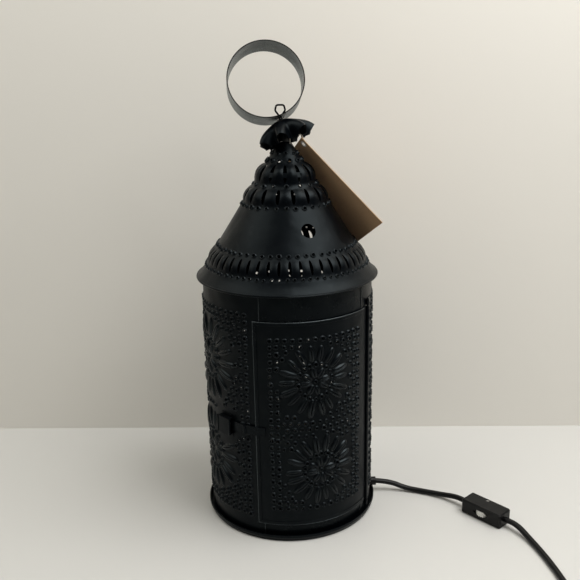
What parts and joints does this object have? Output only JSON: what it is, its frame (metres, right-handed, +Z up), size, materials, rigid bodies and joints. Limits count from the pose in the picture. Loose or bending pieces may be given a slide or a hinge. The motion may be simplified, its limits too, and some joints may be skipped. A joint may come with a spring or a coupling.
{
  "type": "punched tin candle lantern wired as an electric lamp",
  "caption": "Round punched tin lantern with a conical roof, ruffled cap, ring handle and hinged door, wired for a bulb, with a long cord, cord switch, plug and hang tag.",
  "frame": {"origin": "centre of the round base on the table", "axes": "+Z up along the lantern's centre line, the door towards -Y, the cord leaves towards +X"},
  "size_m": [0.3074, 0.3337, 0.4316],
  "materials": {
    "painted_tin": "satin",
    "ring_tin": "satin",
    "wire": "satin",
    "card": "matte",
    "eyelet": "matte",
    "thread": "matte",
    "lamp_steel": "satin",
    "socket_plastic": "satin",
    "lamp_brass": "satin",
    "bulb_metal": "satin",
    "bulb_glass": "clear",
    "cord_plastic": "satin",
    "switch_plastic": "satin",
    "wheel_plastic": "satin",
    "blade_brass": "bright"
  },
  "bodies": {
    "lantern": {"base_pan": "painted_tin", "body_wrap": "painted_tin", "front_header": "painted_tin", "front_sill": "painted_tin", "hinge_wire": "painted_tin", "hinge_eye_lower": "painted_tin", "hinge_eye_upper": "painted_tin", "latch_keeper": "painted_tin", "roof_cone": "painted_tin", "roof_skirt": "painted_tin", "ruffled_cap": "painted_tin", "tag_thread": "thread", "socket_bracket": "lamp_steel", "bracket_screws": "lamp_steel", "socket_nipple": "lamp_steel", "nipple_nut": "lamp_steel", "socket_body": "socket_plastic", "socket_shell": "lamp_brass", "bulb_cap": "bulb_metal", "bulb_glass": "bulb_glass", "cord_bushing": "cord_plastic", "switch_lower": "switch_plastic", "switch_upper": "switch_plastic", "switch_screw": "lamp_steel", "plug_body": "switch_plastic", "plug_blades": "blade_brass", "cord_lead": "cord_plastic", "cord_coil": "cord_plastic", "coil_tie": "switch_plastic", "cord_tail": "cord_plastic", "cord_end": "cord_plastic", "cord_inner": "cord_plastic"},
    "door": {"door_panel": "painted_tin", "latch_tongue": "painted_tin"},
    "hanger": {"hanger_eye": "wire"},
    "ring": {"ring_handle": "ring_tin"},
    "tag": {"tag_card": "card", "tag_eyelet": "eyelet"},
    "wheel": {"switch_wheel": "wheel_plastic"}
  },
  "joints": [
    {"name": "door_hinge", "type": "hinge", "parent": "lantern", "child": "door", "pos_m": [0.0702, -0.03546, 0.11075], "axis": [0, 0, 1], "range_deg": [0, 110]},
    {"name": "ring_swivel", "type": "hinge", "parent": "lantern", "child": "hanger", "pos_m": [-0.00306, 0.00194, 0.3662], "axis": [0, 0, 1], "range_deg": [-28, 28]},
    {"name": "ring_rock", "type": "hinge", "parent": "hanger", "child": "ring", "pos_m": [-0.00306, 0.00194, 0.3662], "axis": [-0.0734, 0.9535, -0.2924], "range_deg": [0, 22]},
    {"name": "tag_swing", "type": "hinge", "parent": "lantern", "child": "tag", "pos_m": [0.01677, -0.00072, 0.34424], "axis": [0.5736, -0.8192, 0], "range_deg": [0, 45]},
    {"name": "wheel_turn", "type": "hinge", "parent": "lantern", "child": "wheel", "pos_m": [0.17885, -0.04994, 0.007], "axis": [0, 0, 1], "continuous": true}
  ]
}
